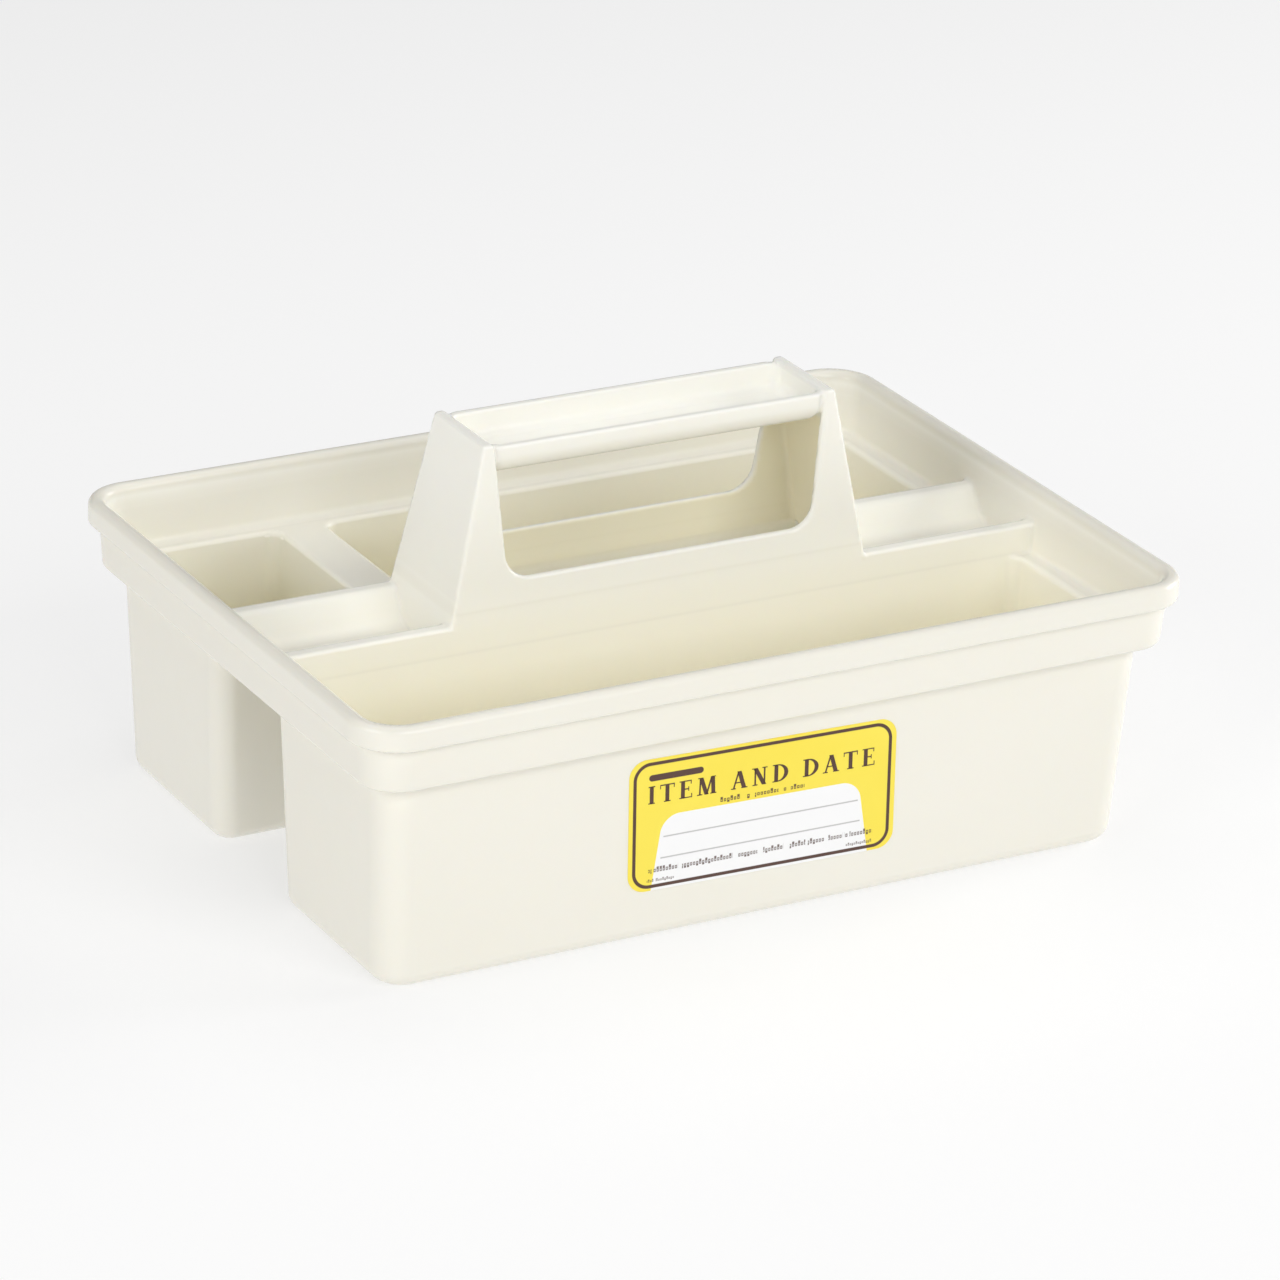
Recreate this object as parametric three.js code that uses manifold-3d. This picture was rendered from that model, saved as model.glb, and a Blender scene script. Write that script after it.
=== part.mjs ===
// Cleaning and storage caddy: one rigid polypropylene moulding with a carrying
// handle, and an adhesive label on its front wall.
// Millimetres, +Z up, origin on the ground plane under the middle of the caddy.
// X runs along the length, Y across the width (front is -Y, the label side).
//
// The moulding is drawn whole, then divided along its natural lines into named
// regions that meet with a hairline gap: rim and ledge, three bins, two middle
// pockets, the handle tower and the handle grip.

import * as THREE from 'three';
import { mergeVertices } from 'three/addons/utils/BufferGeometryUtils.js';
import Module from 'manifold-3d';

// ---- driving dimensions -------------------------------------------------
const LENGTH = 250;            // over the rim
const WIDTH = 182;             // over the rim
const RIM_TOP = 80;            // height of the rim
const HANDLE_TOP = 119.2;      // top of the handle's end plates
const WALL = 2.2;              // general wall thickness
const FLOOR = 2.4;             // bin floor thickness
const GAP = 0.3;               // hairline gap between regions

const RIM_BOTTOM = 73.2;       // lower edge of the rim bead
const BAND_BOTTOM = 60.2;      // lower edge of the band under the rim
const LEDGE = 62.0;            // inner ledge and divider shelf level
const RIM_THICK = 4.6;         // rim bead thickness at the top
const RIM_CORNER = 14;         // plan radius of the rim's corners

const BAND_IN_TOP = 3.2;       // band face, inwards of the rim face
const BAND_IN_BOTTOM = 3.9;
const CAVITY_IN_TOP = 4.6;     // inner face of the upper wall
const CAVITY_IN_BOTTOM = 6.6;
const WALL_IN = 9.0;           // bin wall face under the band, inwards of the rim
const BIN_DRAFT = 2.6;         // how far each bin wall leans in over its height
const BIN_FILLET = 4.5;        // outer radius round each bin's floor
const BIN_FILLET_IN = 3.4;     // inner radius round each bin's floor
const CORNER_OUT = 9;          // plan radius of the caddy's four outer bin corners
const CORNER_IN = 6;           // plan radius of the bin corners beside the tunnel

const PARTITION_Y = 18.4;      // bin-side faces of the two partitions
const PARTITION_TOP = 70.3;
const SHELF_X0 = -67.5;        // divider shelf between the rear bins
const SHELF_X1 = -52.7;

const POCKET_HALF_TOP = 13.2;  // half width of the middle pockets at their mouth
const POCKET_FLOOR = 62.0;

const TOWER_HX_TOP = 53.9;     // half length of the handle tower at its top
const TOWER_HX_REF = 64.2;     // half length at the partitions' top
const TOWER_HY_TOP = 14.6;     // half width of the handle tower at its top
const TOWER_END = 3.2;         // thickness of the tower's end plates
const WINDOW_BOTTOM = 80.9;    // sill of the hand opening, front panel
const WINDOW_BACK_DROP = 1.0;  // the rear panel's sill is this much lower
const WINDOW_HX_BOTTOM = 46.9; // half length of the hand opening near its sill
const WINDOW_HX_TOP = 50.9;
const WINDOW_R = 6.5;

const GRIP_TOP = 118.2;
const GRIP_HX = 50.2;
const GRIP_HY = 14.3;
const GRIP_BOTTOM = 108.9;

const LABEL_W = 81.6;
const LABEL_H = 39.1;
const LABEL_T = 0.3;
const LABEL_X = -3.0;          // label centre
const LABEL_Z = 33.65;
const LABEL_TILT = 1.2 * Math.PI / 180; // stuck on slightly out of level

// ---- solids -------------------------------------------------------------
const wasm = await Module();
wasm.setup();

function toManifold(geometry) {
  const g = geometry.clone();
  g.deleteAttribute('normal');
  g.deleteAttribute('uv');
  const m = mergeVertices(g, 1e-4);
  return new wasm.Manifold(new wasm.Mesh({
    numProp: 3,
    vertProperties: new Float32Array(m.attributes.position.array),
    triVerts: new Uint32Array(m.index.array),
  }));
}

function toGeometry(manifold) {
  const mesh = manifold.getMesh();
  const g = new THREE.BufferGeometry();
  g.setAttribute('position', new THREE.BufferAttribute(new Float32Array(mesh.vertProperties), 3));
  g.setIndex(new THREE.BufferAttribute(new Uint32Array(mesh.triVerts), 1));
  return g;
}

const union = (...list) => list.slice(1).reduce((a, b) => a.add(b), list[0]);

// Corners are numbered from +X+Y anticlockwise: [++, -+, --, +-].
const CORNERS = [[1, 1], [-1, 1], [-1, -1], [1, -1]];

function roundedRect(hx, hy, r) {
  const s = new THREE.Shape();
  CORNERS.forEach(([sx, sy], k) => {
    const a0 = (k * Math.PI) / 2;
    s.absarc(sx * (hx - r), sy * (hy - r), r, a0, a0 + Math.PI / 2, false);
  });
  s.closePath();
  return s;
}

// A solid through rounded rectangles of the same make, stacked bottom to top.
// level: { z, x0, x1, y0, y1, r } with r a number or one radius per corner.
function loft(levels, segments = 5) {
  const HX = 2, HY = 2, R = 1;
  const g = new THREE.ExtrudeGeometry(roundedRect(HX, HY, R), {
    depth: levels.length - 1, steps: levels.length - 1, bevelEnabled: false, curveSegments: segments,
  });
  const p = g.attributes.position;
  for (let i = 0; i < p.count; i++) {
    const x = p.getX(i), y = p.getY(i);
    const L = levels[Math.round(p.getZ(i))];
    const sx = Math.sign(x), sy = Math.sign(y);
    const k = CORNERS.findIndex(([a, b]) => a === sx && b === sy);
    const r = Array.isArray(L.r) ? L.r[k] : L.r;
    const dx = (x - sx * (HX - R)) / R, dy = (y - sy * (HY - R)) / R;
    const cx = sx > 0 ? L.x1 - r : L.x0 + r;
    const cy = sy > 0 ? L.y1 - r : L.y0 + r;
    p.setXYZ(i, cx + r * dx, cy + r * dy, L.z);
  }
  return toManifold(g);
}

// Level of a rounded rectangle set in from the rim's outline by `off`.
const ring = (z, off, r) => ({
  z, x0: -LENGTH / 2 + off, x1: LENGTH / 2 - off, y0: -WIDTH / 2 + off, y1: WIDTH / 2 - off, r,
});

// A prism along X with an outline in Y and Z.
function prismX(points, x0, x1) {
  const s = new THREE.Shape(points.map(([y, z]) => new THREE.Vector2(y, z)));
  const g = new THREE.ExtrudeGeometry(s, { depth: x1 - x0, bevelEnabled: false });
  const m = new THREE.Matrix4().makeBasis(
    new THREE.Vector3(0, 1, 0), new THREE.Vector3(0, 0, 1), new THREE.Vector3(1, 0, 0));
  m.setPosition(x0, 0, 0);
  g.applyMatrix4(m);
  return toManifold(g);
}

// A box between two corners.
function block(x0, x1, y0, y1, z0, z1) {
  const g = new THREE.BoxGeometry(x1 - x0, y1 - y0, z1 - z0);
  g.translate((x0 + x1) / 2, (y0 + y1) / 2, (z0 + z1) / 2);
  return toManifold(g);
}

// ---- rim bead and the band under it -------------------------------------
const rimOuter = loft([
  ring(RIM_BOTTOM, 0.5, RIM_CORNER - 0.5),
  ring(RIM_BOTTOM + 0.6, 0.0, RIM_CORNER),
  ring(RIM_TOP - 1.7, 0.0, RIM_CORNER),
  ring(RIM_TOP - 0.5, 0.45, RIM_CORNER - 0.45),
  ring(RIM_TOP, 1.6, RIM_CORNER - 1.6),
], 6);
const bandOuter = loft([
  ring(BAND_BOTTOM, BAND_IN_BOTTOM + 1.2, 9.2),
  ring(BAND_BOTTOM + 1.0, BAND_IN_BOTTOM, 10.2),
  ring(RIM_BOTTOM + 1, BAND_IN_TOP, 10.8),
], 6);
const upperCavity = loft([
  ring(LEDGE, CAVITY_IN_BOTTOM, 8.6),
  ring(RIM_TOP - 1.3, CAVITY_IN_TOP, 9.4),
  ring(RIM_TOP - 0.4, CAVITY_IN_TOP - 0.35, 9.7),
  ring(RIM_TOP + 0.01, CAVITY_IN_TOP - 1.3, 10.6),
  ring(RIM_TOP + 2, CAVITY_IN_TOP - 1.3, 10.6),
], 6);

// ---- bins ---------------------------------------------------------------
// top: outer rectangle just under the band; every wall leans in by BIN_DRAFT.
const BIN_TOP = BAND_BOTTOM;
function binLevels(rect, inset, zTop, zFloor, fillet, radii) {
  const lean = (z) => (BIN_DRAFT * (BIN_TOP - z)) / BIN_TOP;
  const at = (z, extra) => {
    const o = lean(z) + inset + extra;
    return {
      z, x0: rect.x0 + o, x1: rect.x1 - o, y0: rect.y0 + o, y1: rect.y1 - o,
      r: radii.map((r) => Math.max(r - extra, 0.8)),
    };
  };
  const out = [];
  for (const deg of [90, 60, 30, 0]) {
    const a = (deg * Math.PI) / 180;
    out.push(at(zFloor + fillet * (1 - Math.sin(a)), fillet * (1 - Math.cos(a))));
  }
  out.push(at(zTop, 0));
  return out;
}
const HX_BIN = LENGTH / 2 - WALL_IN;
const HY_BIN = WIDTH / 2 - WALL_IN;
const Y_TUNNEL = PARTITION_Y - WALL + 0.3;    // bin faces beside the tunnel, at the top
const bins = {
  front: { rect: { x0: -HX_BIN, x1: HX_BIN, y0: -HY_BIN, y1: -Y_TUNNEL }, r: [CORNER_IN, CORNER_IN, CORNER_OUT, CORNER_OUT] },
  rearLeft: { rect: { x0: -HX_BIN, x1: SHELF_X0 + WALL, y0: Y_TUNNEL, y1: HY_BIN }, r: [CORNER_IN, CORNER_OUT, CORNER_IN, CORNER_IN] },
  rearRight: { rect: { x0: SHELF_X1 - WALL, x1: HX_BIN, y0: Y_TUNNEL, y1: HY_BIN }, r: [CORNER_OUT, CORNER_IN, CORNER_IN, CORNER_IN] },
};
for (const b of Object.values(bins)) {
  b.outer = loft(binLevels(b.rect, 0, BAND_BOTTOM + 1, 0, BIN_FILLET, b.r));
  const inner = b.r.map((r) => Math.max(r - WALL, 2.5));
  b.cavity = loft(binLevels(b.rect, WALL, LEDGE + 1, FLOOR, BIN_FILLET_IN, inner));
}

// ---- middle island: partitions and pockets ------------------------------
// The partitions' bin-side faces carry on the bins' walls up to their tops.
const P = PARTITION_Y, PT = PARTITION_TOP;
const islandProfile = [
  [-P - 0.3, BAND_BOTTOM], [P + 0.3, BAND_BOTTOM],
  [P + 0.05, PT - 2.0], [P - 0.5, PT - 0.5], [P - 1.8, PT],
  [-P + 1.8, PT], [-P + 0.5, PT - 0.5], [-P - 0.05, PT - 2.0],
];
const island = prismX(islandProfile, -LENGTH / 2 + CAVITY_IN_TOP + 0.9, LENGTH / 2 - CAVITY_IN_TOP - 0.9);
const H = POCKET_HALF_TOP;
const pocketProfile = [
  [-H - 1.6, PT + 1], [-H - 1.2, PT + 0.01], [-H + 0.1, PT - 0.7], [-H + 2.2, PT - 3.1], [-H + 4.8, PT - 6.2], [-H + 6.6, PT - 7.7],
  [-H + 8.6, POCKET_FLOOR],
  [H - 8.6, POCKET_FLOOR], [H - 6.6, PT - 7.7], [H - 4.8, PT - 6.2], [H - 2.2, PT - 3.1], [H - 0.1, PT - 0.7], [H + 1.2, PT + 0.01], [H + 1.6, PT + 1],
];
const pocketVoid = prismX(pocketProfile, -LENGTH / 2, LENGTH / 2);
// Each partition is hollow from below, behind its bin-side wall.
const core = (s) => {
  const pts = [[s * 9.8, BAND_BOTTOM - 1], [s * 15.9, BAND_BOTTOM - 1], [s * 15.7, PT - 2.4], [s * 15.0, PT - 2.2], [s * 13.9, PT - 3.6]];
  return prismX(s > 0 ? pts : pts.reverse(), -LENGTH / 2 + 10, LENGTH / 2 - 10);
};

// ---- handle tower -------------------------------------------------------
const slopeX = (TOWER_HX_REF - TOWER_HX_TOP) / (HANDLE_TOP - PARTITION_TOP);
const slopeY = (PARTITION_Y - TOWER_HY_TOP) / (HANDLE_TOP - PARTITION_TOP);
const towerHX = (z) => TOWER_HX_REF - slopeX * (z - PARTITION_TOP);
const towerHY = (z) => (z < PARTITION_TOP ? PARTITION_Y : PARTITION_Y - slopeY * (z - PARTITION_TOP));
const tower = (z, inX, inY, r) => ({
  z, x0: -towerHX(z) + inX, x1: towerHX(z) - inX, y0: -towerHY(z) + inY, y1: towerHY(z) - inY, r,
});
const towerOuter = loft([
  tower(BAND_BOTTOM, 0, 0, 1.0),
  tower(PARTITION_TOP, 0, 0, 1.0),
  tower(HANDLE_TOP, 0, 0, 1.0),
], 3);
const towerInner = loft([
  tower(BAND_BOTTOM - 6, TOWER_END - 0.4, WALL, 1.6),
  tower(PARTITION_TOP, TOWER_END - 0.4, WALL, 1.6),
  tower(HANDLE_TOP + 2, TOWER_END, WALL, 1.6),
], 3);
// Hand opening through both long panels, open upwards to the grip.
function windowShape(sill) {
  const s = new THREE.Shape();
  const hb = WINDOW_HX_BOTTOM, ht = WINDOW_HX_TOP, zt = HANDLE_TOP + 3;
  const k = (ht - hb) / (HANDLE_TOP - sill);
  const cz = sill + WINDOW_R, cx = hb - WINDOW_R + k * WINDOW_R * 0.9;
  s.moveTo(ht + k * 3, zt);
  s.lineTo(-ht - k * 3, zt);
  s.absarc(-cx, cz, WINDOW_R, Math.PI, 1.5 * Math.PI, false);
  s.absarc(cx, cz, WINDOW_R, 1.5 * Math.PI, 2 * Math.PI, false);
  s.closePath();
  return s;
}
const windowSide = (sill, yFrom) => {
  const g = new THREE.ExtrudeGeometry(windowShape(sill), { depth: 30, bevelEnabled: false, curveSegments: 6 });
  g.rotateX(Math.PI / 2);
  g.translate(0, yFrom + 30, 0);
  return toManifold(g);
};
const windowVoid = union(windowSide(WINDOW_BOTTOM, -30), windowSide(WINDOW_BOTTOM - WINDOW_BACK_DROP, 0));

// ---- handle grip: an open-topped trough with upswept ends -----------------
const gripLevel = (z, hx, hy, r) => ({ z, x0: -hx, x1: hx, y0: -hy, y1: hy, r });
const gripOuter = loft([
  gripLevel(GRIP_BOTTOM, 45.4, 5.0, 2.0),
  gripLevel(GRIP_BOTTOM + 0.3, 46.9, 6.9, 2.4),
  gripLevel(GRIP_BOTTOM + 1.1, 48.2, 9.4, 2.6),
  gripLevel(GRIP_BOTTOM + 2.6, 49.4, 11.9, 2.6),
  gripLevel(GRIP_BOTTOM + 4.6, 50.1, 13.6, 2.0),
  gripLevel(GRIP_BOTTOM + 7.3, GRIP_HX, GRIP_HY, 1.2),
  gripLevel(GRIP_TOP, GRIP_HX, GRIP_HY + 0.1, 0.8),
], 4);
const gripInner = loft([
  gripLevel(GRIP_BOTTOM + 2.1, 44.4, 4.5, 1.6),
  gripLevel(GRIP_BOTTOM + 2.5, 46.0, 6.9, 2.0),
  gripLevel(GRIP_BOTTOM + 3.6, 47.2, 9.2, 2.0),
  gripLevel(GRIP_BOTTOM + 5.1, 48.1, 10.7, 1.8),
  gripLevel(GRIP_BOTTOM + 6.9, 48.7, 11.3, 1.4),
  gripLevel(GRIP_TOP + 1, 48.8, 11.5, 1.2),
], 4);
const grip = gripOuter.subtract(gripInner);

// ---- the whole moulding, without the grip --------------------------------
let tray = union(rimOuter, bandOuter).subtract(upperCavity);
tray = union(tray, bins.front.outer, bins.rearLeft.outer, bins.rearRight.outer);
const middle = island.subtract(pocketVoid);
tray = union(tray, middle);
for (const b of Object.values(bins)) tray = tray.subtract(b.cavity);
tray = tray.subtract(core(1)).subtract(core(-1));
tray = union(tray, towerOuter).subtract(towerInner).subtract(windowVoid);

// ---- named regions --------------------------------------------------------
const BIG = 200;
const zCut = BAND_BOTTOM - 0.05;
const below = block(-BIG, BIG, -BIG, BIG, -10, zCut - GAP / 2);
const above = block(-BIG, BIG, -BIG, BIG, zCut + GAP / 2, 300);
const islandX = LENGTH / 2 - CAVITY_IN_BOTTOM + 0.4;
const islandY = PARTITION_Y + 0.45;
const islandBox = block(-islandX, islandX, -islandY, islandY, zCut + GAP / 2, 300);
const islandBoxWide = block(-islandX - GAP, islandX + GAP, -islandY - GAP, islandY + GAP, zCut - 5, 300);
const towerZone = (grow) => loft([
  { z: BAND_BOTTOM - 8, x0: -towerHX(BAND_BOTTOM - 8) - grow, x1: towerHX(BAND_BOTTOM - 8) + grow, y0: -30, y1: 30, r: 0.5 },
  { z: HANDLE_TOP + 8, x0: -towerHX(HANDLE_TOP + 8) - grow, x1: towerHX(HANDLE_TOP + 8) + grow, y0: -30, y1: 30, r: 0.5 },
], 1);

const cutBelow = tray.intersect(below);
const regions = {
  rim_and_ledge: tray.intersect(above).subtract(islandBoxWide),
  front_bin: cutBelow.intersect(block(-BIG, BIG, -BIG, -10, -10, 70)),
  rear_left_bin: cutBelow.intersect(block(-BIG, (SHELF_X0 + SHELF_X1) / 2, 10, BIG, -10, 70)),
  rear_right_bin: cutBelow.intersect(block((SHELF_X0 + SHELF_X1) / 2, BIG, 10, BIG, -10, 70)),
  left_pocket: tray.intersect(islandBox).subtract(towerZone(GAP)).intersect(block(-BIG, 0, -30, 30, 0, 300)),
  right_pocket: tray.intersect(islandBox).subtract(towerZone(GAP)).intersect(block(0, BIG, -30, 30, 0, 300)),
  handle_tower: tray.intersect(islandBox).intersect(towerZone(0)),
  handle_grip: grip,
};

// ---- label ----------------------------------------------------------------
// A thin sheet on the front wall, leaning with it.
const labelGeo = new THREE.ExtrudeGeometry(roundedRect(LABEL_W / 2, LABEL_H / 2, 5), {
  depth: LABEL_T, bevelEnabled: false, curveSegments: 5,
});
labelGeo.rotateZ(-LABEL_TILT);
const lean = Math.atan(BIN_DRAFT / BIN_TOP);
const wallY = -HY_BIN + (BIN_DRAFT * (BIN_TOP - LABEL_Z)) / BIN_TOP;

// ---- scene graph ------------------------------------------------------------
const caddy = new THREE.Group();
const cream = () => new THREE.MeshStandardMaterial({ color: 0xede8da, roughness: 0.38, metalness: 0 });
for (const [name, solid] of Object.entries(regions)) {
  const mesh = new THREE.Mesh(toGeometry(solid), cream());
  mesh.name = name;
  caddy.add(mesh);
}
const label = new THREE.Mesh(labelGeo, new THREE.MeshStandardMaterial({ color: 0xf6e34e, roughness: 0.45, metalness: 0 }));
label.name = 'label';
label.rotation.x = Math.PI / 2 + lean;
label.position.set(LABEL_X, wallY - 0.06, LABEL_Z);
caddy.add(label);

export default caddy;
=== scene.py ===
import math
import bpy
import numpy as np
from mathutils import Matrix, Vector


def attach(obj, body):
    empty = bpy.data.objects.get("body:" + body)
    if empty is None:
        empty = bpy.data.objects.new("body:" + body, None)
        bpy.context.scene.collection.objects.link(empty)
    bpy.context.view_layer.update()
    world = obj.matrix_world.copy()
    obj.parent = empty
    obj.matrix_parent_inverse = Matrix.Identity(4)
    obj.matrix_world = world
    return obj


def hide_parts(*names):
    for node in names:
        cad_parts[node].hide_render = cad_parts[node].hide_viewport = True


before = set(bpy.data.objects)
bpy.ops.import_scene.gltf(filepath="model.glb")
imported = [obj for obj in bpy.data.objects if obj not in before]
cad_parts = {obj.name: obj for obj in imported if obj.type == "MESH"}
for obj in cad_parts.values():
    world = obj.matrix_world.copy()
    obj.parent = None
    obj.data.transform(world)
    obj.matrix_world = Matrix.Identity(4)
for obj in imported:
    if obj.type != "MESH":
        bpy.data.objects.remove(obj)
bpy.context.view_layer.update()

scene = bpy.context.scene
MM = 0.001


# ---------------------------------------------------------------------------
# Camera, at the viewing angle of the photograph
# ---------------------------------------------------------------------------
right = Vector((0.87172, -0.48832, 0.04058)).normalized()
back = Vector((-0.46294, -0.79360, 0.39485)).normalized()
up = back.cross(right).normalized()
right = up.cross(back).normalized()
cam_data = bpy.data.cameras.new("camera")
cam_data.sensor_fit = "HORIZONTAL"
cam_data.sensor_width = 36.0
cam_data.lens = 166.13
cam_data.clip_start = 0.05
cam_data.clip_end = 50.0
cam = bpy.data.objects.new("camera", cam_data)
m = Matrix.Identity(4)
for i in range(3):
    m[i][0], m[i][1], m[i][2] = right[i], up[i], back[i]
m[0][3], m[1][3], m[2][3] = -0.74558, -1.28560, 0.68749
cam.matrix_world = m
scene.collection.objects.link(cam)
scene.camera = cam


def area_light(name, at, aim, size, size_y, power, colour=(1.0, 1.0, 1.0)):
    data = bpy.data.lights.new(name, "AREA")
    data.shape = "RECTANGLE"
    data.size, data.size_y = size, size_y
    data.energy = power
    data.color = colour
    o = bpy.data.objects.new(name, data)
    o.location = at
    o.rotation_euler = (Vector(aim) - Vector(at)).to_track_quat("-Z", "Y").to_euler()
    scene.collection.objects.link(o)
    return o


area_light("soft_top", (-0.1, 0.35, 1.35), (0.0, 0.0, 0.05), 1.5, 1.2, 6.5)
area_light("soft_left", (-1.5, -0.45, 0.62), (0.0, 0.0, 0.04), 1.1, 0.8, 9.8)
area_light("soft_front", (0.1, -1.6, 1.0), (0.0, 0.0, 0.03), 1.5, 0.8, 15.5)
area_light("soft_right", (1.5, -0.2, 0.55), (0.0, 0.0, 0.05), 0.9, 0.7, 13.0)

world = bpy.data.worlds.new("studio")
world.use_nodes = True
world.node_tree.nodes["Background"].inputs[0].default_value = (1.0, 1.0, 1.0, 1.0)
world.node_tree.nodes["Background"].inputs[1].default_value = 0.18
scene.world = world
scene.view_settings.view_transform = "Standard"
scene.view_settings.look = "None"


def nodes_of(mat):
    mat.use_nodes = True
    nt = mat.node_tree
    nt.nodes.clear()
    out = nt.nodes.new("ShaderNodeOutputMaterial")
    sh = nt.nodes.new("ShaderNodeBsdfPrincipled")
    nt.links.new(sh.outputs[0], out.inputs[0])
    return nt, sh


# floor
floor_mat = bpy.data.materials.new("pale_floor")
nt, sh = nodes_of(floor_mat)
sh.inputs["Base Color"].default_value = (0.42, 0.42, 0.42, 1.0)
sh.inputs["Roughness"].default_value = 0.9
sh.inputs["Specular IOR Level"].default_value = 0.1
sh.inputs["Emission Color"].default_value = (1.0, 1.0, 1.0, 1.0)
sh.inputs["Emission Strength"].default_value = 0.56
fm = bpy.data.meshes.new("floor")
fm.from_pydata([(-8, -8, 0), (8, -8, 0), (8, 8, 0), (-8, 8, 0)], [], [(0, 1, 2, 3)])
floor = bpy.data.objects.new("floor", fm)
floor.location = (0, 0, -0.0004)
fm.materials.append(floor_mat)
scene.collection.objects.link(floor)

# ---------------------------------------------------------------------------
# The moulding as one closed surface. Millimetres in this section.
# f(x, y, z) is negative inside the plastic; every edge and corner is a fillet.
# ---------------------------------------------------------------------------
RIM_TOP, RIM_LOW, BAND_LOW, LEDGE = 80.0, 73.2, 60.2, 62.0
HX, HY = 125.0, 91.0
WALL, FLOOR = 2.2, 2.4
PART_TOP, PART_Y = 70.3, 18.2638
DRAFT = 2.6 / 60.2


def inter(a, b, r):
    u, v = np.maximum(r + a, 0.0), np.maximum(r + b, 0.0)
    return np.minimum(np.maximum(a, b), -r) + np.sqrt(u * u + v * v)


def uni(a, b, r):
    u, v = np.maximum(r - a, 0.0), np.maximum(r - b, 0.0)
    return np.maximum(np.minimum(a, b), r) - np.sqrt(u * u + v * v)


def cut(a, b, r):
    return inter(a, -b, r)


def lerp(z, z0, v0, z1, v1):
    return v0 + (v1 - v0) * (z - z0) / (z1 - z0)


def rect(x, y, x0, x1, y0, y1, r):
    qx = np.abs(x - (x0 + x1) / 2) - (x1 - x0) / 2 + r
    qy = np.abs(y - (y0 + y1) / 2) - (y1 - y0) / 2 + r
    ox, oy = np.maximum(qx, 0.0), np.maximum(qy, 0.0)
    return np.minimum(np.maximum(qx, qy), 0.0) + np.sqrt(ox * ox + oy * oy) - r


def bowl(a, b, ra, rb):
    """Quarter-ellipse rounding between two faces; a and b run outwards from the ellipse's centre."""
    u, v = np.maximum(a, 0.0) / ra, np.maximum(b, 0.0) / rb
    n = np.sqrt(u * u + v * v)
    g = np.sqrt((u / ra) ** 2 + (v / rb) ** 2)
    return np.where(n > 0.2, (n - 1.0) * n / np.maximum(g, 1e-6), np.maximum(a - ra, b - rb))


BINS = (
    # x0, x1, y0, y1 just under the band, then plan radii ++, -+, --, +-
    (-116.0, 116.0, -82.0, -16.5, (6.0, 6.0, 9.0, 9.0)),
    (-116.0, -65.3, 16.5, 82.0, (6.0, 9.0, 6.0, 6.0)),
    (-54.9, 116.0, 16.5, 82.0, (9.0, 6.0, 6.0, 6.0)),
)


def bin_solid(x, y, z, b, inset, floor, fillet):
    x0, x1, y0, y1, radii = b
    o = DRAFT * (60.2 - z) + inset
    cx, cy = (x0 + x1) / 2, (y0 + y1) / 2
    r = np.where(x > cx, np.where(y > cy, radii[0], radii[3]), np.where(y > cy, radii[1], radii[2]))
    r = np.maximum(r - inset, 2.5)
    return inter(rect(x, y, x0 + o, x1 - o, y0 + o, y1 - o, r), floor - z, fillet)


def tower_hx(z):
    return 64.2 - 0.2106 * (z - 70.3)


def tower_hy(z):
    hy = PART_Y - 0.0772 * (z - 70.3)
    return np.where(z < 69.6, hy - (69.6 - z) * 0.9, hy)


def shell(x, y, z):
    """Rim bead, band under it, bins under that, all filled; and the space inside the bins."""
    f = inter(rect(x, y, -HX, HX, -HY, HY, 14.0), z - RIM_TOP, 1.9)
    f = inter(f, RIM_LOW - z, 0.9)
    off = lerp(z, 73.2, 3.2, 60.2, 3.9)
    band = inter(rect(x, y, -HX + off, HX - off, -HY + off, HY - off, 10.6), z - 76.0, 0.5)
    band = inter(band, BAND_LOW - z, 1.3)
    f = uni(f, band, 0.9)
    cavity = None
    for b in BINS:
        solid = inter(bin_solid(x, y, z, b, 0.0, 0.0, 4.5), z - 61.4, 0.3)
        f = uni(f, solid, 1.1)
        hollow = bin_solid(x, y, z, b, WALL, FLOOR, 3.4)
        cavity = hollow if cavity is None else np.minimum(cavity, hollow)
    return f, cavity


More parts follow.
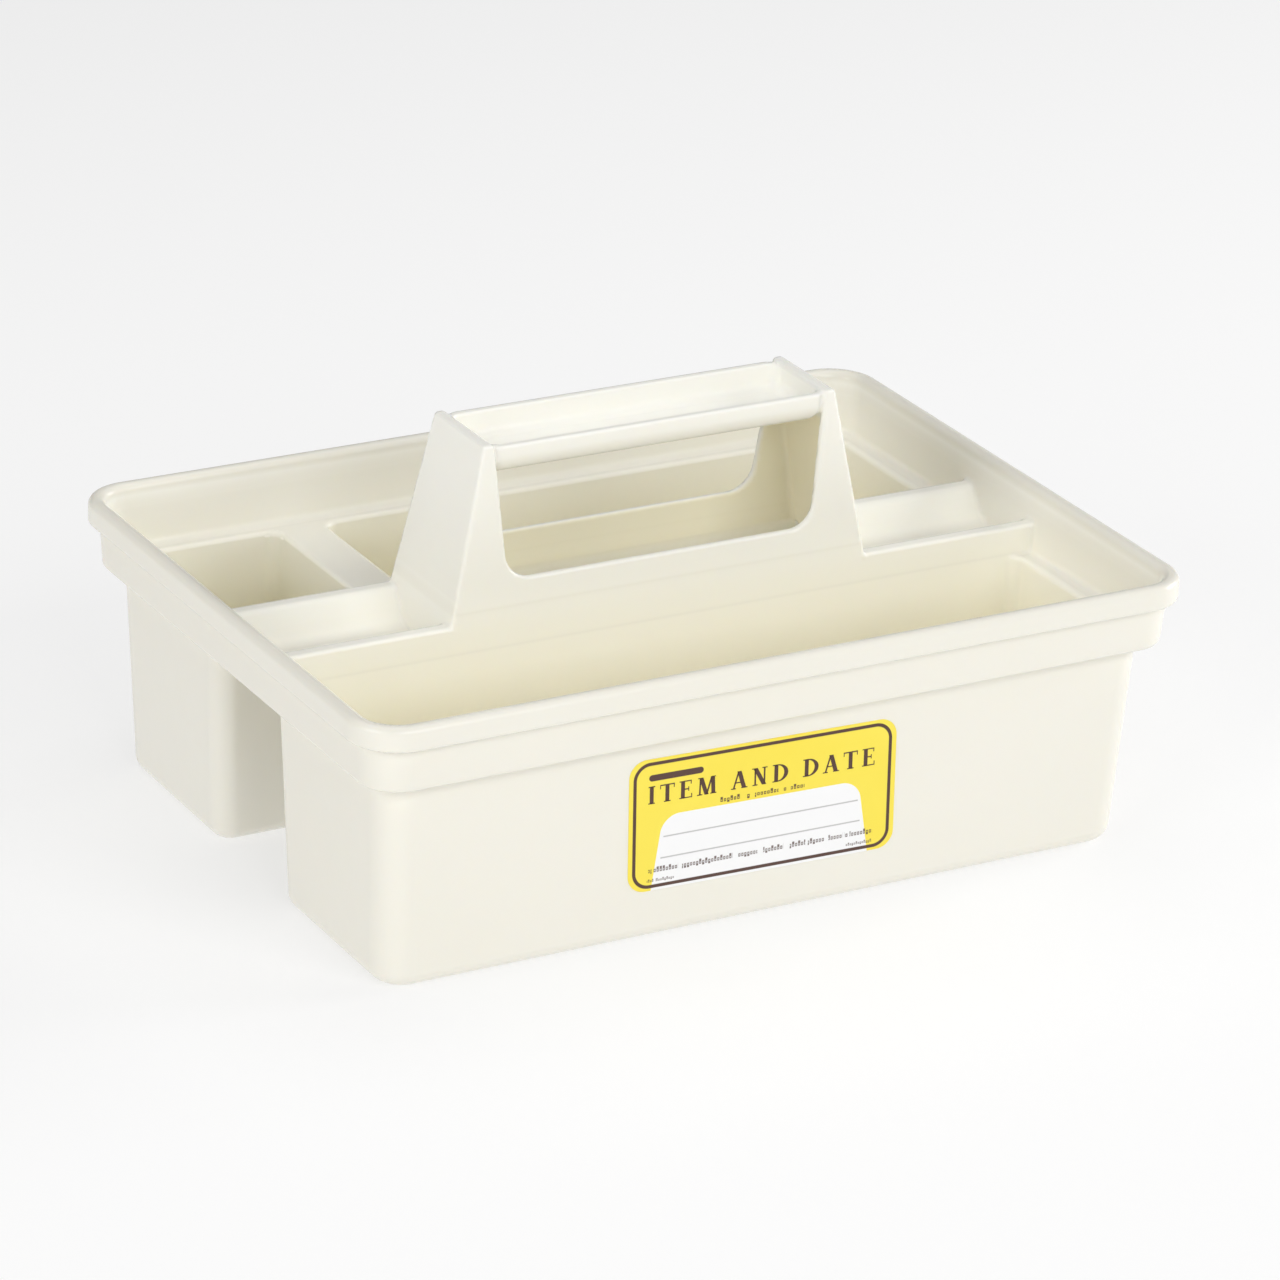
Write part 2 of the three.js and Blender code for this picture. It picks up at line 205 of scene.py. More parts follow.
def moulding(x, y, z):
    ax, ay = np.abs(x), np.abs(y)
    f, cavity = shell(x, y, z)
    # everything standing inside the upper wall, below it the ledge
    slope = (ay - 6.6 - (z - 62.0) * 0.8545) * 0.76          # pocket side
    yp = PART_Y + (PART_TOP - z) * DRAFT
    part = inter(ay - yp, z - PART_TOP, 0.9)
    part = inter(part, -slope, 1.15)
    # the bins are open through the ledge, and their walls run up into the partitions
    ledge = cut(z - LEDGE, cavity, 1.1 + 0.4 * np.clip((ay - 26.0) / 8.0, 0.0, 1.0))
    ground = uni(ledge, part, np.where(ay < 14.0, 3.2, np.clip(cavity - 0.2, 0.02, 0.9)))
    tower = inter(ax - tower_hx(z), ay - tower_hy(z), 1.0)
    tower = inter(tower, z - 118.9, 0.7)
    blend = np.clip((ax - tower_hx(z) + 1.5) / 1.2, 0.02, 1.0)
    ground = uni(ground, tower, 0.9 * blend)
    # the open space inside the rim
    off = lerp(z, 62.0, 6.6, 78.7, 4.6)
    space = rect(x, y, -HX + off, HX - off, -HY + off, HY - off, 9.2)
    sky = inter(space, -ground, np.where(ay < 26.0, 1.1, np.clip(1.1 + (ay - 26.0) * 0.05, 1.1, 1.9)))
    sky = np.where(z < 82.0, sky, np.maximum(space, -ground))
    f = np.where(z < 60.9, cut(f, cavity, 0.2), cut(f, sky, 1.7))
    f = np.where(z > 74.0, np.minimum(f, tower), f)
    # handle: hollow from below, a window through both panels, a trough on top
    low = np.minimum(PART_Y - 0.0772 * (z - 70.3) - 2.25, 16.0)
    hollow = inter(ax - (tower_hx(z) - lerp(z, 60.0, 2.8, 119.0, 3.2)), ay - low, 1.6)
    # partitions hollow from below
    core = inter(ay - 16.0, 2.2 - slope, 0.8)
    core = inter(core, z - 68.0, 0.8)
    core = inter(core, ax - 115.0, 1.5)
    under = np.where(z < 72.0, uni(hollow, core, 1.0), hollow)
    f = cut(f, under, 0.6)
    hw = lerp(z, 80.9, 46.9, 119.2, 50.9)
    sill = 80.4 - 0.5 * np.clip(y / 10.0, -1.0, 1.0)
    window = inter(inter(ax - hw, sill - z, 6.8), ay - 40.0, 0.1)
    f = cut(f, window, 0.8)
    ex = bowl(ax - 46.5, 112.5 - z, 5.0 + 1.6 * np.clip((10.8 - ay) / 3.0, 0.0, 1.0), 8.0)
    ey = bowl(ay - 7.3, 115.1 - z, 7.0, 5.8)
    grip = inter(inter(ex, ey, 4.0), z - 118.1, 0.7)
    f = uni(f, grip, 1.1)
    iy = bowl(ay - 9.0, 113.4 - z, 2.45 + np.clip((z - 113.4) * 0.03, 0.0, 0.15), 2.4)
    trough = inter(ax - 50.6, iy, 3.0)
    f = cut(f, trough, 0.7)
    return f


def planes(spans):
    """Grid lines over spans of (start, end, spacing)."""
    out = [spans[0][0]]
    for a, b, h in spans:
        n = max(1, int(round((b - a) / h)))
        out.extend(list(a + (b - a) * np.arange(1, n + 1) / n))
    return np.array(out) + 0.0137


def surface(fn, X, Y, Z):
    """Surface nets on a rectilinear grid; settle puts the points on to the surface with Newton steps afterwards."""
    F = fn(X[:, None, None], Y[None, :, None], Z[None, None, :])
    F = np.where(np.abs(F) < 1e-5, 1e-5, F)
    S = F < 0
    nx, ny, nz = F.shape
    cnt = np.zeros((nx - 1, ny - 1, nz - 1), np.int8)
    for i in (0, 1):
        for j in (0, 1):
            for k in (0, 1):
                cnt += S[i:nx - 1 + i, j:ny - 1 + j, k:nz - 1 + k]
    act = (cnt > 0) & (cnt < 8)
    idx = np.full(act.shape, -1, np.int64)
    ci, cj, ck = np.nonzero(act)
    idx[ci, cj, ck] = np.arange(len(ci))
    acc = np.zeros((len(ci), 3))
    num = np.zeros(len(ci))
    G = (X, Y, Z)
    for axis in range(3):
        o1, o2 = [a for a in range(3) if a != axis]
        for u in (0, 1):
            for v in (0, 1):
                a = [ci, cj, ck]
                a[o1] = a[o1] + u
                a[o2] = a[o2] + v
                b = list(a)
                b[axis] = b[axis] + 1
                fa, fb = F[a[0], a[1], a[2]], F[b[0], b[1], b[2]]
                m = (fa < 0) != (fb < 0)
                t = np.where(m, fa / np.where(m, fa - fb, 1.0), 0.0)
                p = np.stack([G[q][a[q]] for q in range(3)], 1)
                p[:, axis] = G[axis][a[axis]] * (1 - t) + G[axis][b[axis]] * t
                acc[m] += p[m]
                num[m] += 1
    P = acc / num[:, None]
    quads = []
    for axis in range(3):
        sl_a = [slice(None)] * 3
        sl_b = [slice(None)] * 3
        sl_a[axis] = slice(0, -1)
        sl_b[axis] = slice(1, None)
        A, B = S[tuple(sl_a)], S[tuple(sl_b)]
        e = np.nonzero(A != B)
        o1, o2 = [(axis + 1) % 3, (axis + 2) % 3]
        ok = (e[o1] > 0) & (e[o2] > 0) & (e[o1] < F.shape[o1] - 1) & (e[o2] < F.shape[o2] - 1)
        e = [q[ok] for q in e]
        inside = S[e[0], e[1], e[2]]
        c = []
        for u, v in ((-1, -1), (0, -1), (0, 0), (-1, 0)):
            q = list(e)
            q[o1] = q[o1] + u
            q[o2] = q[o2] + v
            c.append(idx[q[0], q[1], q[2]])
        quad = np.stack(c, 1)
        quad[~inside] = quad[~inside][:, ::-1]
        quads.append(quad)
    return P, np.concatenate(quads)


def gradient(fn, P, e=0.02):
    g = np.empty_like(P)
    for k in range(3):
        d = np.zeros(3)
        d[k] = e
        a, b = P + d, P - d
        g[:, k] = (fn(a[:, 0], a[:, 1], a[:, 2]) - fn(b[:, 0], b[:, 1], b[:, 2])) / (2 * e)
    return g


def settle(fn, P, steps=5, limit=0.7):
    P = P.copy()
    for _ in range(steps):
        f = fn(P[:, 0], P[:, 1], P[:, 2])
        g = gradient(fn, P)
        s = -f / np.maximum((g * g).sum(1), 0.05)
        d = g * s[:, None]
        n = np.sqrt((d * d).sum(1))
        d *= np.minimum(1.0, limit / np.maximum(n, 1e-9))[:, None]
        P += d
    return P


def relax(fn, P, Q, rounds=6):
    """Evens out the few cells that end up folded over."""
    P = P.copy()
    for _ in range(rounds):
        C = P[Q]
        n = np.cross(C[:, 2] - C[:, 0], C[:, 3] - C[:, 1])
        N = gradient(fn, P)
        N /= np.maximum(np.linalg.norm(N, axis=1), 1e-9)[:, None]
        bad = (n * N[Q].mean(1)).sum(1) < 0.6 * np.linalg.norm(n, axis=1)
        ids = np.unique(Q[bad])
        if len(ids) == 0:
            break
        acc, num = np.zeros_like(P), np.zeros(len(P))
        cen = C.mean(1)
        for j in range(4):
            np.add.at(acc, Q[:, j], cen)
            np.add.at(num, Q[:, j], 1.0)
        P[ids] = settle(fn, acc[ids] / num[ids][:, None], 3, 0.25)
    return P
def grid(k=1.0):
    fine, mid, wide, dense = 0.8 * k, 1.2 * k, 3.0 * k, 0.55 * k
    X = planes([(-127.0, -111.5, fine), (-111.5, -103.0, k), (-103.0, -76.0, wide), (-76.0, -45.5, fine),
                (-45.5, -37.0, mid), (-37.0, 37.0, wide), (37.0, 46.0, mid),
                (46.0, 66.0, fine), (66.0, 103.0, wide), (103.0, 111.5, k), (111.5, 127.0, fine)])
    Y = planes([(-93.0, -78.0, fine), (-78.0, -69.0, k), (-69.0, -26.5, wide), (-26.5, -22.0, mid),
                (-22.0, -9.0, fine), (-9.0, -5.0, mid), (-5.0, 5.0, wide), (5.0, 9.0, mid),
                (9.0, 22.0, fine), (22.0, 26.5, mid), (26.5, 69.0, wide), (69.0, 78.0, k), (78.0, 93.0, fine)])
    Z = planes([(-2.0, 7.0, fine), (7.0, 58.0, wide), (58.0, 59.4, fine), (59.4, 63.6, dense), (63.6, 68.8, mid),
                (68.8, 71.2, dense), (71.2, 72.6, fine), (72.6, 74.8, dense), (74.8, 77.6, mid),
                (77.6, 81.0, dense), (81.0, 88.5, mid), (88.5, 106.5, wide), (106.5, 120.5, dense)])
    return X, Y, Z

k = 1.2
P, Q = surface(moulding, *grid(k))
P = relax(moulding, settle(moulding, P), Q)
T = np.concatenate([Q[:, [0, 1, 2]], Q[:, [0, 2, 3]]])


def mesh_from(name, verts, faces):
    me = bpy.data.meshes.new(name)
    me.vertices.add(len(verts))
    me.vertices.foreach_set("co", np.ascontiguousarray(verts, np.float32).ravel())
    n = faces.shape[1]
    me.loops.add(len(faces) * n)
    me.loops.foreach_set("vertex_index", np.ascontiguousarray(faces, np.int32).ravel())
    me.polygons.add(len(faces))
    me.polygons.foreach_set("loop_start", np.arange(0, len(faces) * n, n, dtype=np.int32))
    me.polygons.foreach_set("loop_total", np.full(len(faces), n, np.int32))
    me.update(calc_edges=True)
    me.validate()
    return me


me = mesh_from("caddy_moulding", P * MM, Q)
body = bpy.data.objects.new("caddy_moulding", me)
scene.collection.objects.link(body)
me = body.data
me.name = "caddy_moulding"
V = P
N = gradient(moulding, V)
N /= np.linalg.norm(N, axis=1)[:, None]
me.polygons.foreach_set("use_smooth", np.ones(len(me.polygons), bool))
me.update()
me.normals_split_custom_set_from_vertices(N.tolist())
# how deep inside the caddy each point lies, for a painted shade: a warmer, more saturated tone down there that
# stands in for light bounced around in shade
hull, cav = shell(V[:, 0], V[:, 1], V[:, 2])
inside = np.clip((-hull - 1.2) / 2.0, 0.0, 1.0) * (V[:, 2] < 79.0)
inside = np.maximum(inside, np.clip(1.6 - np.abs(cav), 0.0, 1.0) * (V[:, 2] < 62.5))
core = np.minimum(tower_hx(V[:, 2]) - 2.2 - np.abs(V[:, 0]), tower_hy(np.maximum(V[:, 2], 70.3)) - 1.6 - np.abs(V[:, 1]))
well = np.clip(core / 0.8, 0.0, 1.0) * np.clip((109.8 - V[:, 2]) / 1.5, 0.0, 1.0)
painted_shade_amount = np.maximum(inside * np.clip((77.0 - V[:, 2]) / 58.0, 0.0, 1.0), well)
# painted light: the insides of the bins and the handle tower above the rim are painted paler, as if lit more
# brightly
tall = np.clip((66.0 - np.abs(V[:, 0])) / 4.0, 0.0, 1.0) * np.clip((24.0 - np.abs(V[:, 1])) / 4.0, 0.0, 1.0) * (V[:, 2] > 74.0)
painted_light = np.maximum(inside, tall)
at = me.attributes.new("painted_shade", "FLOAT", "POINT")
at.data.foreach_set("value", painted_shade_amount.astype(np.float32))
at = me.attributes.new("painted_light", "FLOAT", "POINT")
at.data.foreach_set("value", painted_light.astype(np.float32))
me.update()
print("moulding", len(me.vertices), "vertices", len(me.polygons), "faces")

# ---------------------------------------------------------------------------
# Semi-gloss cream polypropylene
# ---------------------------------------------------------------------------
plastic = bpy.data.materials.new("cream_polypropylene")
nt, sh = nodes_of(plastic)
N_ = nt.nodes.new
L_ = nt.links.new


def noise(scale, detail=3.0, rough=0.5, src=None, tree=None):
    t = tree or nt
    n = t.nodes.new("ShaderNodeTexNoise")
    n.inputs["Scale"].default_value = scale
    n.inputs["Detail"].default_value = detail
    n.inputs["Roughness"].default_value = rough
    if src is not None:
        t.links.new(src, n.inputs["Vector"])
    return n


def ramp(src, lo, hi, a, b, tree=None):
    t = tree or nt
    n = t.nodes.new("ShaderNodeMapRange")
    n.inputs["From Min"].default_value = lo
    n.inputs["From Max"].default_value = hi
    n.inputs["To Min"].default_value = a
    n.inputs["To Max"].default_value = b
    n.clamp = True
    t.links.new(src, n.inputs["Value"])
    return n.outputs["Result"]


def mixc(fac, a, b, tree=None, blend="MIX"):
    t = tree or nt
    n = t.nodes.new("ShaderNodeMix")
    n.data_type = "RGBA"
    n.blend_type = blend
    if isinstance(fac, float):
        n.inputs["Factor"].default_value = fac
    else:
        t.links.new(fac, n.inputs["Factor"])
    for s, v in (("A", a), ("B", b)):
        sock = [i for i in n.inputs if i.name == s and i.type == "RGBA"][0]
        if isinstance(v, tuple):
            sock.default_value = v
        else:
            t.links.new(v, sock)
    return [o for o in n.outputs if o.type == "RGBA"][0]


def math_(op, a, b=None, tree=None, clamp=False):
    t = tree or nt
    n = t.nodes.new("ShaderNodeMath")
    n.operation = op
    n.use_clamp = clamp
    for i, v in enumerate((a, b)):
        if v is None:
            continue
        if isinstance(v, (int, float)):
            n.inputs[i].default_value = float(v)
        else:
            t.links.new(v, n.inputs[i])
    return n.outputs[0]


tc = N_("ShaderNodeTexCoord").outputs["Object"]
CREAM = (0.838, 0.817, 0.734, 1.0)
WARM = (0.830, 0.807, 0.716, 1.0)
PALE = (0.848, 0.829, 0.753, 1.0)
cloud = noise(9.0, 3.0, 0.55, tc)
base = mixc(ramp(cloud.outputs[0], 0.35, 0.68, 0.0, 1.0), WARM, PALE)
flow = noise(42.0, 4.0, 0.6, tc)
base = mixc(ramp(flow.outputs[0], 0.3, 0.72, 0.25, 0.75), base, CREAM)
# painted shade: warm, saturated yellow for the deep insides of the bins and the handle's hollow, in place of light
# bounced around in shade
PAINTED_SHADE_TONE = (0.945, 0.880, 0.640, 1.0)
# painted light: a paler tone for the insides of the bins and the handle tower
PAINTED_LIGHT_TONE = (0.945, 0.935, 0.872, 1.0)
painted_light = N_("ShaderNodeAttribute")
painted_light.attribute_name = "painted_light"
base = mixc(ramp(painted_light.outputs["Fac"], 0.0, 1.0, 0.0, 1.0), base, PAINTED_LIGHT_TONE)
# painted shade, mixed in by how deep each point lies
painted_shade = N_("ShaderNodeAttribute")
painted_shade.attribute_name = "painted_shade"
base = mixc(ramp(painted_shade.outputs["Fac"], 0.0, 1.0, 0.0, 0.85), base, PAINTED_SHADE_TONE)
L_(base, sh.inputs["Base Color"])
haze = noise(160.0, 3.0, 0.6, tc)
rub = noise(14.0, 5.0, 0.62, tc)
r = math_("ADD", ramp(haze.outputs[0], 0.3, 0.7, 0.212, 0.244), ramp(rub.outputs[0], 0.42, 0.72, 0.0, 0.02))
L_(r, sh.inputs["Roughness"])
sh.inputs["IOR"].default_value = 1.49
sh.inputs["Specular IOR Level"].default_value = 0.5
sh.inputs["Subsurface Weight"].default_value = 0.12
sh.inputs["Subsurface Radius"].default_value = (1.0, 0.8, 0.5)
sh.inputs["Subsurface Scale"].default_value = 0.002
grain = noise(2300.0, 2.0, 0.5, tc)
wave = noise(75.0, 2.0, 0.5, tc)
b1 = N_("ShaderNodeBump")
b1.inputs["Strength"].default_value = 0.035
b1.inputs["Distance"].default_value = 0.00025
L_(grain.outputs[0], b1.inputs["Height"])
b2 = N_("ShaderNodeBump")
b2.inputs["Strength"].default_value = 0.10
b2.inputs["Distance"].default_value = 0.0006
L_(wave.outputs[0], b2.inputs["Height"])
L_(b1.outputs[0], b2.inputs["Normal"])
L_(b2.outputs[0], sh.inputs["Normal"])
body.data.materials.clear()
body.data.materials.append(plastic)
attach(body, "root")
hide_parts("rim_and_ledge", "front_bin", "rear_left_bin", "rear_right_bin",
            "left_pocket", "right_pocket", "handle_tower", "handle_grip")

# ---------------------------------------------------------------------------
# Adhesive label: a thin sheet on the front wall, stuck on slightly askew.
# s runs along it and t up it, in millimetres from the middle of its border.
# ---------------------------------------------------------------------------
LC = (-3.11, 33.62)
ES = (0.99977, -0.02119)
ET = (-0.05321, 0.99858)
LEAN = math.atan(DRAFT)


def on_label(s, t, rise):
    x = LC[0] + s * ES[0] + t * ET[0]
    z = LC[1] + s * ES[1] + t * ET[1]
    y = -82.0 + DRAFT * (60.2 - z)
    return (x * MM, (y - rise * math.cos(LEAN)) * MM, (z - rise * math.sin(LEAN)) * MM)


def outline(s0, s1, t0, t1, r, n=10):
    pts = []
    for cx, cy, a0 in ((s1 - r, t1 - r, 0), (s0 + r, t1 - r, 90), (s0 + r, t0 + r, 180), (s1 - r, t0 + r, 270)):
        for i in range(n + 1):
            a = math.radians(a0 + 90.0 * i / n)
            pts.append((cx + r * math.cos(a), cy + r * math.sin(a)))
    return pts


def edge_points(pts, step=4.0):
    """Adds points along long straight runs, so the sheet has an even outline."""
    out = []
    for i, p in enumerate(pts):
        q = pts[(i + 1) % len(pts)]
        d = math.dist(p, q)
        n = max(1, int(d / step))
        out += [(p[0] + (q[0] - p[0]) * j / n, p[1] + (q[1] - p[1]) * j / n) for j in range(n)]
    return out


LX0, LX1, LT0, LT1, LR = -40.7, 40.9, -19.5, 19.6, 5.2
rings = []
for inset, rise in ((0.0, -0.02), (0.0, 0.10), (0.03, 0.14), (0.10, 0.16)):
    rings.append([(s, t, rise) for s, t in edge_points(outline(LX0 + inset, LX1 - inset, LT0 + inset, LT1 - inset, LR - inset))])
count = min(len(r) for r in rings)
rings = [r[:count] for r in rings]
lverts, luv, lfaces = [], [], []
for r in rings:
    for s, t, rise in r:
        lverts.append(on_label(s, t, rise))
        luv.append((s / 100.0 + 0.5, t / 100.0 + 0.5))
for k_ in range(len(rings) - 1):
    for i in range(count):
        j = (i + 1) % count
        lfaces.append((k_ * count + i, k_ * count + j, (k_ + 1) * count + j, (k_ + 1) * count + i))
lfaces.append(tuple(range((len(rings) - 1) * count, len(rings) * count)))
lfaces.append(tuple(reversed(range(count))))
lmesh = bpy.data.meshes.new("label_sheet")
lmesh.from_pydata(lverts, [], lfaces)
uvl = lmesh.uv_layers.new(name="print")
for loop in lmesh.loops:
    uvl.data[loop.index].uv = luv[loop.vertex_index]
lmesh.update()
label = bpy.data.objects.new("label_sheet", lmesh)
scene.collection.objects.link(label)

lm = bpy.data.materials.new("label_print")
lt, lsh = nodes_of(lm)


def M(op, a, b=None, c=None):
    n = lt.nodes.new("ShaderNodeMath")
    n.operation = op
    for i, v in enumerate((a, b, c)):
        if v is None:
            continue
        if isinstance(v, (int, float)):
            n.inputs[i].default_value = float(v)
        else:
            lt.links.new(v, n.inputs[i])
    return n.outputs[0]


uvn = lt.nodes.new("ShaderNodeUVMap")
uvn.uv_map = "print"
sep = lt.nodes.new("ShaderNodeSeparateXYZ")
lt.links.new(uvn.outputs[0], sep.inputs[0])
S = M("MULTIPLY", M("SUBTRACT", sep.outputs[0], 0.5), 100.0)
T_ = M("MULTIPLY", M("SUBTRACT", sep.outputs[1], 0.5), 100.0)


def box_sd(cx, cy, hx, hy, r, s=None, t=None):
    qx = M("ADD", M("SUBTRACT", M("ABSOLUTE", M("SUBTRACT", S if s is None else s, cx)), hx), r)
    qy = M("ADD", M("SUBTRACT", M("ABSOLUTE", M("SUBTRACT", T_ if t is None else t, cy)), hy), r)
    ox, oy = M("MAXIMUM", qx, 0.0), M("MAXIMUM", qy, 0.0)
    outside = M("SQRT", M("ADD", M("MULTIPLY", ox, ox), M("MULTIPLY", oy, oy)))
    return M("SUBTRACT", M("ADD", M("MINIMUM", M("MAXIMUM", qx, qy), 0.0), outside), r)


def soft(d, w=0.05):
    """1 where d is under 0, with a soft printed edge."""
    n = lt.nodes.new("ShaderNodeMapRange")
    n.inputs["From Min"].default_value = w
    n.inputs["From Max"].default_value = -w
    n.clamp = True
    lt.links.new(d, n.inputs["Value"])
    return n.outputs["Result"]


def greek(t0, height, spans, cell, seed, weight=0.55):
    """A row of meaningless small marks that stand for fine print."""
    c = M("FLOOR", M("DIVIDE", S, cell))
    f = M("FRACT", M("DIVIDE", S, cell))
    wn = lt.nodes.new("ShaderNodeTexWhiteNoise")
    wn.noise_dimensions = "1D"
    lt.links.new(M("ADD", c, seed), wn.inputs["W"])
    rnd = wn.outputs["Value"]
    top = M("ADD", M("MULTIPLY", M("GREATER_THAN", rnd, 0.62), height * 0.36), t0 + height * 0.64)
    low = M("SUBTRACT", t0, M("MULTIPLY", M("LESS_THAN", rnd, 0.12), height * 0.22))
    inside = M("MULTIPLY", soft(M("SUBTRACT", T_, top)), soft(M("SUBTRACT", low, T_)))
    col = M("MULTIPLY", soft(M("SUBTRACT", f, 0.86), 0.06), soft(M("SUBTRACT", 0.14, f), 0.06))
    eye = box_sd(0.5, t0 + height * 0.32, 0.14, height * 0.14, 0.0, s=f)
    ink = M("MULTIPLY", M("MULTIPLY", inside, col), M("SUBTRACT", 1.0, M("MULTIPLY", soft(eye), 0.8)))
    words = None
    for a, b in spans:
        w = M("MULTIPLY", soft(M("SUBTRACT", a, S)), soft(M("SUBTRACT", S, b)))
        words = w if words is None else M("MAXIMUM", words, w)
    return M("MULTIPLY", M("MULTIPLY", ink, words), weight)


def mix(fac, a, b):
    return mixc(fac, a, b, tree=lt)


YELLOW = (0.925, 0.725, 0.058, 1.0)
WHITE = (0.90, 0.90, 0.905, 1.0)
INK = (0.078, 0.032, 0.021, 1.0)
GREY = (0.50, 0.49, 0.49, 1.0)
tone = noise(2.2, 3.0, 0.6, uvn.outputs[0], tree=lt)
yel = mix(ramp(tone.outputs[0], 0.3, 0.7, 0.0, 1.0, tree=lt), (0.915, 0.735, 0.060, 1.0), (0.935, 0.775, 0.082, 1.0))
# white writing panel: flared sides, rounded upper corners, running off the lower edge
qx = M("ADD", M("MULTIPLY", M("SUBTRACT", M("ABSOLUTE", M("ADD", S, 0.5)), M("ADD", M("MULTIPLY", M("SUBTRACT", 2.4, T_), 0.155), 29.9)), 0.988), 5.0)
qy = M("ADD", M("SUBTRACT", T_, 2.4), 5.0)
ox, oy = M("MAXIMUM", qx, 0.0), M("MAXIMUM", qy, 0.0)
panel = M("SUBTRACT", M("ADD", M("MINIMUM", M("MAXIMUM", qx, qy), 0.0), M("SQRT", M("ADD", M("MULTIPLY", ox, ox), M("MULTIPLY", oy, oy)))), 5.0)
col = mix(soft(panel), yel, WHITE)
for t0, a, b in ((-3.72, -30.2, 29.4), (-9.98, -31.0, 30.2)):
    d = M("SUBTRACT", M("ABSOLUTE", M("SUBTRACT", T_, M("ADD", M("MULTIPLY", S, 0.0067), t0))), 0.20)
    line = M("MULTIPLY", soft(d), M("MULTIPLY", soft(M("SUBTRACT", a, S)), soft(M("SUBTRACT", S, b))))
    col = mix(line, col, GREY)
inks = greek(-14.1, 1.55, ((-34.6, -33.6), (-33.0, -25.6), (-24.4, -9.0), (-7.4, -1.4), (0.4, 6.6), (8.6, 13.4), (14.2, 19.4), (20.6, 25.0), (25.6, 26.6), (27.2, 34.2)), 0.92, 3.0, 0.9)
inks = M("MAXIMUM", inks, greek(-16.9, 0.9, ((-35.0, -33.0), (-32.4, -26.8), (26.0, 34.2)), 0.62, 11.0, 0.8))
inks = M("MAXIMUM", inks, greek(3.35, 1.45, ((-13.2, -7.0), (-5.2, -4.2), (-2.6, 4.6), (6.0, 7.0), (8.4, 12.6)), 1.02, 23.0, 0.95))
border = M("SUBTRACT", M("ABSOLUTE", box_sd(0.0, 0.0, 38.98, 18.21, 4.6)), 0.50)
inks = M("MAXIMUM", inks, soft(border))
inks = M("MAXIMUM", inks, soft(box_sd(-26.6, 14.0, 8.2, 0.95, 0.95)))
col = mix(inks, col, INK)
lt.links.new(col, lsh.inputs["Base Color"])
paper = noise(60.0, 4.0, 0.6, uvn.outputs[0], tree=lt)
rough = M("ADD", ramp(paper.outputs[0], 0.3, 0.7, 0.36, 0.44, tree=lt), M("MULTIPLY", inks, -0.05))
lt.links.new(rough, lsh.inputs["Roughness"])
lsh.inputs["Specular IOR Level"].default_value = 0.45
lsh.inputs["Coat Weight"].default_value = 0.15
lsh.inputs["Coat Roughness"].default_value = 0.25
lb = lt.nodes.new("ShaderNodeBump")
lb.inputs["Strength"].default_value = 0.06
lb.inputs["Distance"].default_value = 0.0002
lt.links.new(paper.outputs[0], lb.inputs["Height"])
lt.links.new(lb.outputs[0], lsh.inputs["Normal"])
lmesh.materials.append(lm)
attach(label, "root")
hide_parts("label")

# heading: generic serif capitals, as thin raised ink
TH, TN, SF = 0.225, 0.095, 0.060


def R(a, b, c, d):
    return [(a, c), (b, c), (b, d), (a, d)]


def stroke(x0, y0, x1, y1, w):
    """A slanted stroke with level ends; w is its level width."""
    return [(x0 - w / 2, y0), (x0 + w / 2, y0), (x1 + w / 2, y1), (x1 - w / 2, y1)]


def serif(x, y, half=0.19):
    return R(x - half, x + half, y, y + SF) if y < 0.5 else R(x - half, x + half, y - SF, y)


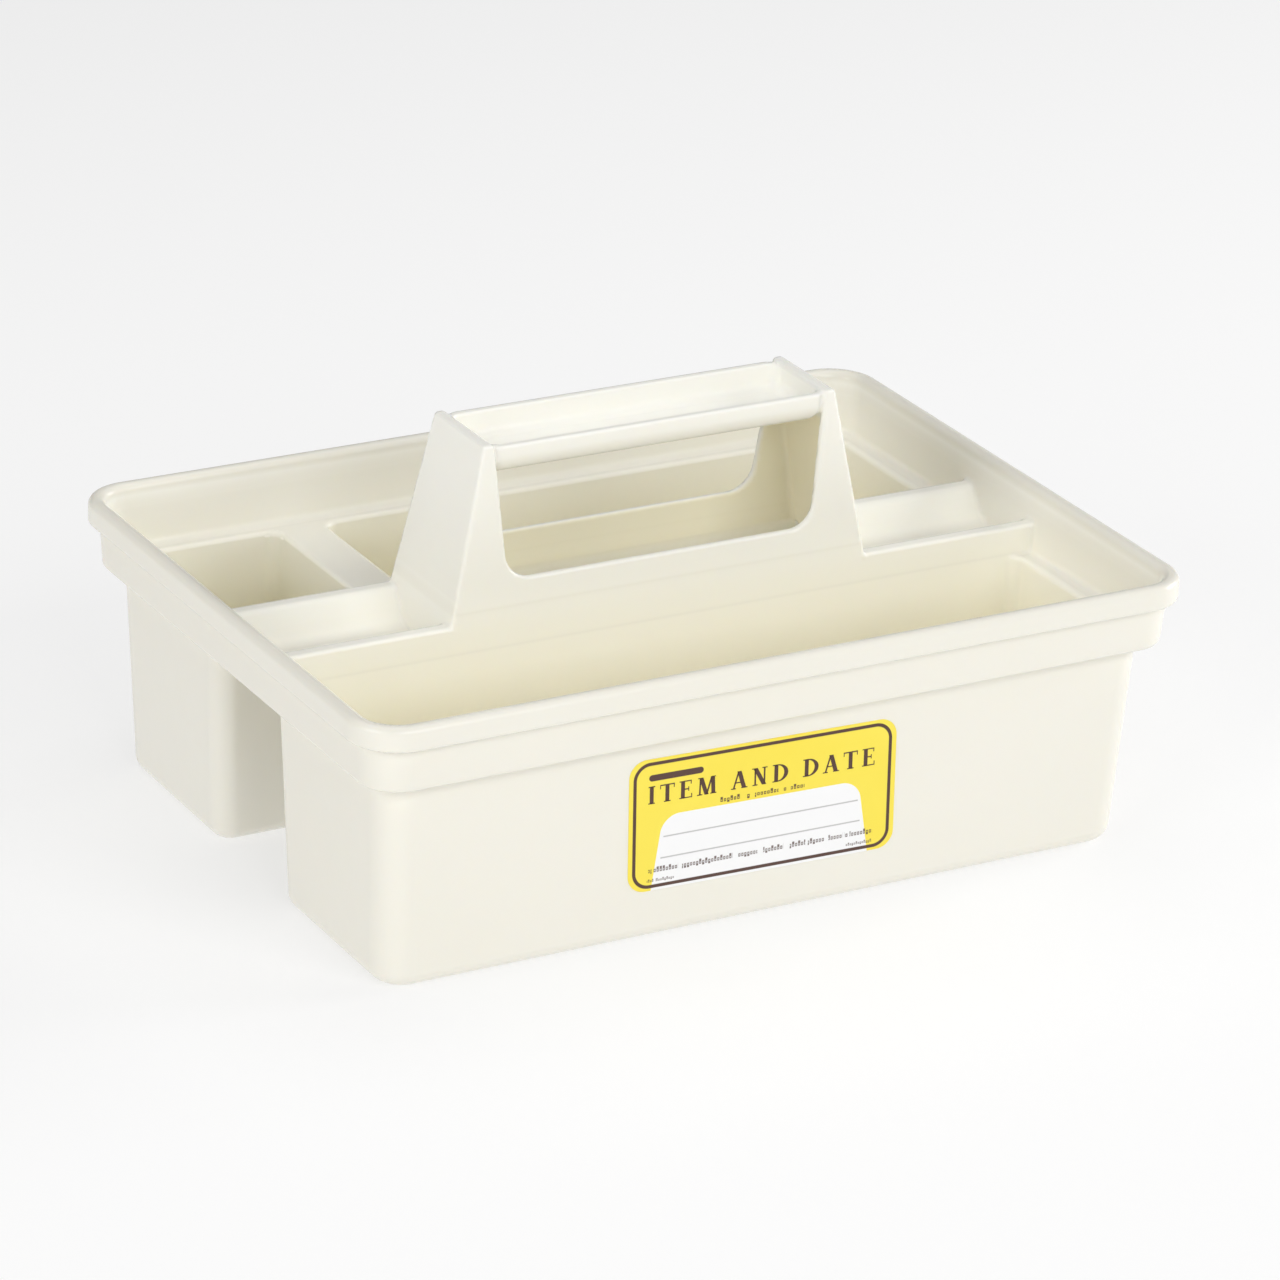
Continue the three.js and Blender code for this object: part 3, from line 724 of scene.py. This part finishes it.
def glyph(ch):
    if ch == "I":
        w = 0.40
        return w, [R(w / 2 - TH / 2, w / 2 + TH / 2, 0, 1), serif(w / 2, 0), serif(w / 2, 1)]
    if ch == "T":
        w = 0.84
        return w, [R(0, w, 0.93, 1), R(0, 0.05, 0.76, 0.93), R(w - 0.05, w, 0.76, 0.93), R(w / 2 - TH / 2, w / 2 + TH / 2, 0, 0.93), serif(w / 2, 0)]
    if ch == "E":
        w = 0.74
        return w, [R(0.09, 0.09 + TH, 0, 1), R(0, w - 0.04, 0.94, 1), R(0.09 + TH, w - 0.18, 0.48, 0.55), R(0, w, 0, 0.06),
                   R(w - 0.09, w - 0.04, 0.78, 0.94), R(w - 0.05, w, 0.06, 0.24), R(w - 0.23, w - 0.18, 0.39, 0.64)]
    if ch == "M":
        w = 1.12
        return w, [stroke(0.16, 0, 0.20, 1, TN), stroke(0.235, 1, 0.56, 0, TH * 1.05)[::-1], stroke(0.56, 0, 0.86, 1, TN * 1.1),
                   stroke(0.955, 0, 0.915, 1, TH), serif(0.16, 0, 0.15), serif(0.955, 0, 0.18), R(0.05, 0.30, 0.95, 1), R(0.82, 1.08, 0.95, 1)]
    if ch == "A":
        w = 0.92
        return w, [stroke(0.13, 0, 0.43, 1, TN), stroke(0.76, 0, 0.46, 1, TH * 1.1), R(0.24, 0.66, 0.32, 0.385), serif(0.13, 0, 0.14), serif(0.77, 0, 0.18)]
    if ch == "N":
        w = 0.94
        return w, [R(0.15, 0.15 + TN, 0, 1), R(w - 0.15 - TN, w - 0.15, 0, 1), stroke(w - 0.21, 0, 0.20, 1, TH * 1.15), serif(0.19, 0, 0.15),
                   R(0.0, 0.24, 0.95, 1), serif(w - 0.19, 1, 0.15)]
    w, out = 0.92, [R(0.10, 0.10 + TH, 0, 1), R(0.0, 0.32, 0, SF), R(0.0, 0.32, 1 - SF, 1)]
    n = 14                                                   # D: half ring
    for i in range(n):
        q = []
        for j, k2 in ((i, 0), (i + 1, 0), (i + 1, 1), (i, 1)):
            a = math.radians(-90 + 180.0 * j / n)
            rx, ry = ((w - 0.30, 0.5), (w - 0.30 - TH * 1.05, 0.5 - 0.065))[k2]
            q.append((0.30 + rx * math.cos(a), 0.5 + ry * math.sin(a)))
        out.append(q)
    return w, out


TITLE = ("ITEM", "AND", "DATE")
CAP, T_S0, T_S1, T_BASE = 5.2, -35.0, 34.2, 6.4
letters = sum(glyph(c)[0] for wd in TITLE for c in wd) * CAP
gap = (T_S1 - T_S0 - letters - 2 * 3.1) / (sum(len(wd) for wd in TITLE) - 1)
tv, tf, cursor = [], [], T_S0
for wi, wd in enumerate(TITLE):
    for ch in wd:
        w, polys = glyph(ch)
        for poly in polys:
            area = sum(poly[i][0] * poly[(i + 1) % len(poly)][1] - poly[(i + 1) % len(poly)][0] * poly[i][1] for i in range(len(poly)))
            if area < 0:
                poly = poly[::-1]
            n, base_i = len(poly), len(tv)
            for rise in (0.15, 0.185):
                for px, py in poly:
                    tv.append(on_label(cursor + px * CAP, T_BASE + py * CAP, rise))
            tf.append(tuple(base_i + n + i for i in range(n)))
            tf.append(tuple(base_i + n - 1 - i for i in range(n)))
            for i in range(n):
                j = (i + 1) % n
                tf.append((base_i + i, base_i + j, base_i + n + j, base_i + n + i))
        cursor += w * CAP + gap
    cursor += 3.1
tmesh = bpy.data.meshes.new("label_heading")
tmesh.from_pydata(tv, [], tf)
tmesh.update()
heading = bpy.data.objects.new("label_heading", tmesh)
scene.collection.objects.link(heading)
im = bpy.data.materials.new("label_ink")
it, ish = nodes_of(im)
otc = it.nodes.new("ShaderNodeTexCoord").outputs["Object"]
spot = noise(900.0, 2.0, 0.5, otc, tree=it)
it.links.new(mixc(ramp(spot.outputs[0], 0.3, 0.7, 0.0, 1.0, tree=it), (0.066, 0.026, 0.017, 1.0), (0.088, 0.038, 0.026, 1.0), tree=it), ish.inputs["Base Color"])
it.links.new(ramp(spot.outputs[0], 0.3, 0.7, 0.34, 0.44, tree=it), ish.inputs["Roughness"])
tmesh.materials.append(im)
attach(heading, "root")
